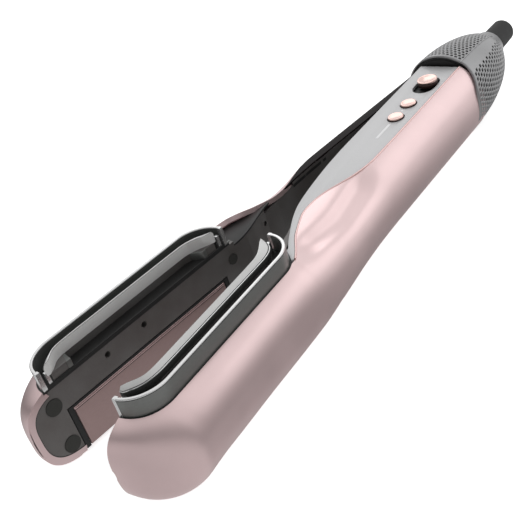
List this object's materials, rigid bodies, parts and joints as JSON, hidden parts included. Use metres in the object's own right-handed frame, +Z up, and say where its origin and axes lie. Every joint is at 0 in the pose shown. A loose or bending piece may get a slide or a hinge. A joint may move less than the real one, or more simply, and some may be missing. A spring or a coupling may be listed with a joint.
{
  "type": "hot air hair straightener",
  "caption": "Two-armed hair straightener with heated plates, a split air nozzle on the arms, a round handle with controls and a perforated intake cap.",
  "frame": {"origin": "on the surface it lies on, beside the hinge pin, in the plane where the two arms meet when closed", "axes": "+X along the handle towards the tips, +Y across towards the outer side of the handle arm, +Z up out of the control strip and the nozzle"},
  "size_m": [0.3529, 0.094, 0.0473],
  "materials": {
    "shell": "satin pearl",
    "panel": "fine satin",
    "nozzle_grey": "satin",
    "nozzle_bright": "satin",
    "inner_dark": "fine matte",
    "plate_metal": "ceramic coated rose",
    "frame_black": "matte",
    "rose_metal": "polished",
    "pad_rubber": "matte",
    "steel": "satin",
    "board": "solder mask",
    "copper": "satin",
    "light": "translucent white",
    "cap_metal": "satin",
    "sleeve_grey": "matte"
  },
  "bodies": {
    "handle": {"handle_shell": "shell", "handle_liner": "inner_dark", "handle_side_wall": "inner_dark", "control_strip": "panel", "base_strip": "panel", "core_ring": "inner_dark", "motor_housing": "inner_dark", "motor": "steel", "motor_mounts": "pad_rubber", "impeller_guard": "inner_dark", "air_duct": "inner_dark", "control_board": "board", "tact_switches": "frame_black", "slide_switch": "frame_black", "light_bar": "light", "indicator_light": "light", "filter_mesh": "frame_black", "rear_frame": "inner_dark", "hinge_pin": "steel", "hinge_spring": "steel", "hinge_ears": "inner_dark", "handle_nozzle_wall": "nozzle_grey", "handle_nozzle_bar": "nozzle_bright", "handle_plate_frame": "frame_black", "handle_plate_springs": "steel", "handle_stop_pads": "pad_rubber", "handle_face_screws": "steel"},
    "lever": {"lever_shell": "shell", "lever_liner": "inner_dark", "lever_channel": "inner_dark", "lever_knuckle": "inner_dark", "lever_nozzle_wall": "nozzle_grey", "lever_nozzle_bar": "nozzle_bright", "lever_plate_frame": "frame_black", "lever_plate_springs": "steel", "lever_stop_pads": "pad_rubber", "lever_face_screws": "steel"},
    "handle_plate": {"handle_plate": "plate_metal", "handle_heater": "copper"},
    "lever_plate": {"lever_plate": "plate_metal", "lever_heater": "copper"},
    "slider": {"power_slider": "rose_metal"},
    "mode_button": {"mode_button": "rose_metal"},
    "heat_button": {"heat_button": "rose_metal"},
    "rotor": {"impeller": "inner_dark"},
    "cap": {"intake_cap": "cap_metal"},
    "sleeve": {"cord_sleeve": "sleeve_grey", "sleeve_collar": "steel"}
  },
  "joints": [
    {"name": "arm_hinge", "type": "hinge", "parent": "handle", "child": "lever", "pos_m": [0, -0.016, 0.019], "axis": [0, 0, 1], "range_deg": [0, 9.1], "stiffness_Nm_per_rad": 0.35, "springref_deg": -34.38},
    {"name": "handle_plate_float", "type": "slide", "parent": "handle", "child": "handle_plate", "axis": [0, 1, 0], "range_m": [0, 0.0005], "stiffness_N_per_m": 1500, "springref_m": -0.0006},
    {"name": "lever_plate_float", "type": "slide", "parent": "lever", "child": "lever_plate", "axis": [-0.1582, -0.9874, 0], "range_m": [0, 0.0005], "stiffness_N_per_m": 1500, "springref_m": -0.0006},
    {"name": "power_slide", "type": "slide", "parent": "handle", "child": "slider", "axis": [1, 0, 0], "range_m": [0, 0.0044]},
    {"name": "mode_press", "type": "slide", "parent": "handle", "child": "mode_button", "axis": [0, 0, -1], "range_m": [0, 0.0006], "stiffness_N_per_m": 900, "springref_m": -0.0006},
    {"name": "heat_press", "type": "slide", "parent": "handle", "child": "heat_button", "axis": [0, 0, -1], "range_m": [0, 0.0006], "stiffness_N_per_m": 900, "springref_m": -0.0006},
    {"name": "impeller_spin", "type": "hinge", "parent": "handle", "child": "rotor", "pos_m": [-0.005, -0.0015, 0.0215], "axis": [1, 0, 0], "continuous": true},
    {"name": "cap_pull", "type": "slide", "parent": "handle", "child": "cap", "axis": [-1, 0, 0], "range_m": [0, 0.03]},
    {"name": "cord_swivel", "type": "hinge", "parent": "handle", "child": "sleeve", "pos_m": [-0.05, -0.0015, 0.0215], "axis": [1, 0, 0], "continuous": true}
  ]
}
